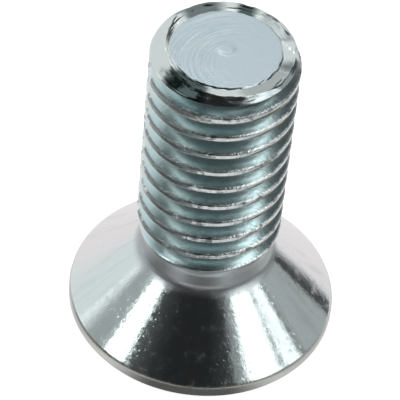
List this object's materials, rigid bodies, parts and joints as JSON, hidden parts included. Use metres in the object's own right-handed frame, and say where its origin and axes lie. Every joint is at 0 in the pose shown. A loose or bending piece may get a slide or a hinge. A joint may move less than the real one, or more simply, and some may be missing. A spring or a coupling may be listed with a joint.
{
  "type": "countersunk screw",
  "caption": "Zinc plated countersunk machine screw: conical head with a cross recess, plain neck and a right-hand metric thread, for clamping a plate flush onto a threaded hole.",
  "frame": {"origin": "centre of the head's flat face", "axes": "+Z runs along the screw's axis from the head's flat face to the tip; the wings of the cross recess lie along X and Y"},
  "size_m": [0.0094, 0.0094, 0.012],
  "materials": {
    "zinc_plated_steel": "satin"
  },
  "bodies": {
    "root": {"countersunk_screw": "zinc_plated_steel"}
  },
  "joints": []
}
